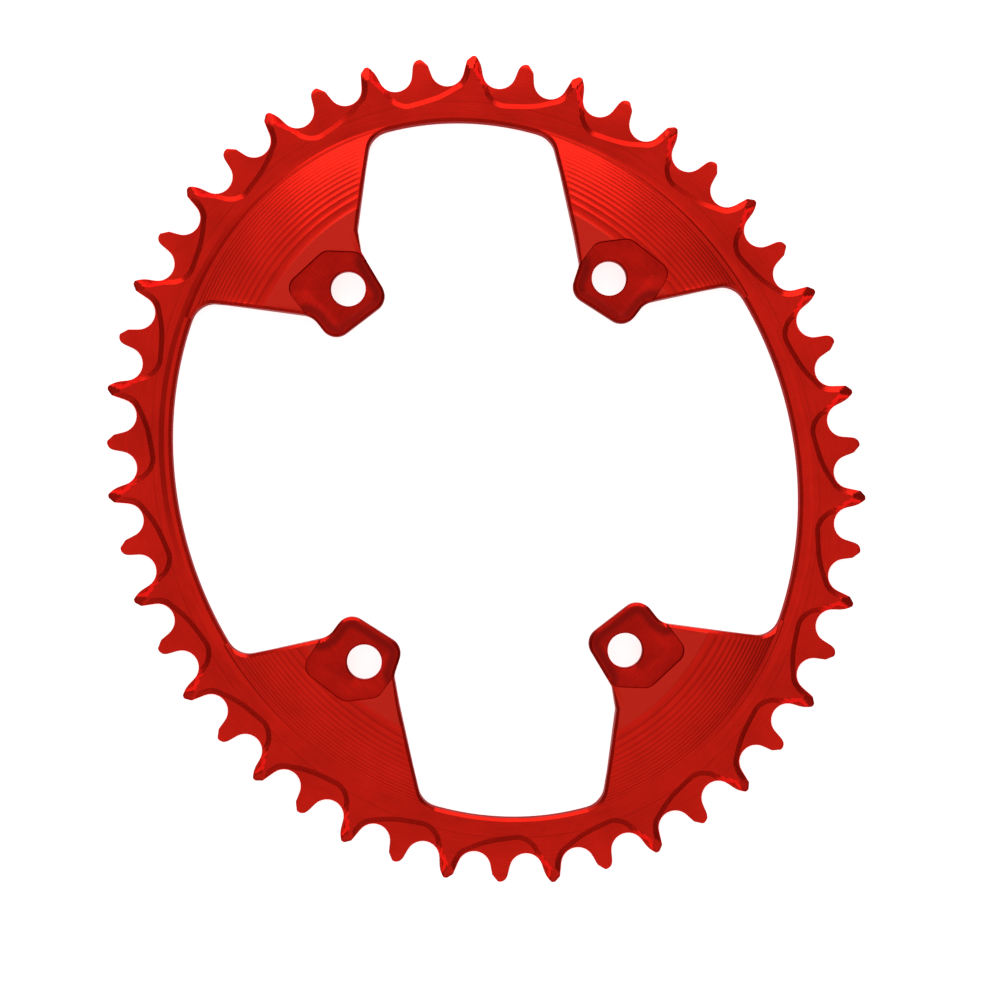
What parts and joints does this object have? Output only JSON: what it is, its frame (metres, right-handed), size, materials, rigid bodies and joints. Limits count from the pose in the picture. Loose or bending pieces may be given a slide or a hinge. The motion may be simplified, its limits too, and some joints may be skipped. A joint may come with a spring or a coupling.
{
  "type": "bicycle chainring",
  "caption": "Oval narrow-wide bicycle chainring milled in one piece from red-anodised aluminium, with terraced arms and dished bolt tabs that fasten it to a crank.",
  "frame": {"origin": "on the axis of rotation, in the plane of the rim's back face", "axes": "+Z out of the outer face, away from the frame of the bicycle; +Y midway between the two upper bolts; +X to the right of it, seen from the outer side"},
  "size_m": [0.184, 0.2017, 0.0086],
  "materials": {
    "red_anodised": "red anodised over fine milling marks, satin"
  },
  "bodies": {
    "root": {"chainring": "red_anodised"}
  },
  "joints": []
}
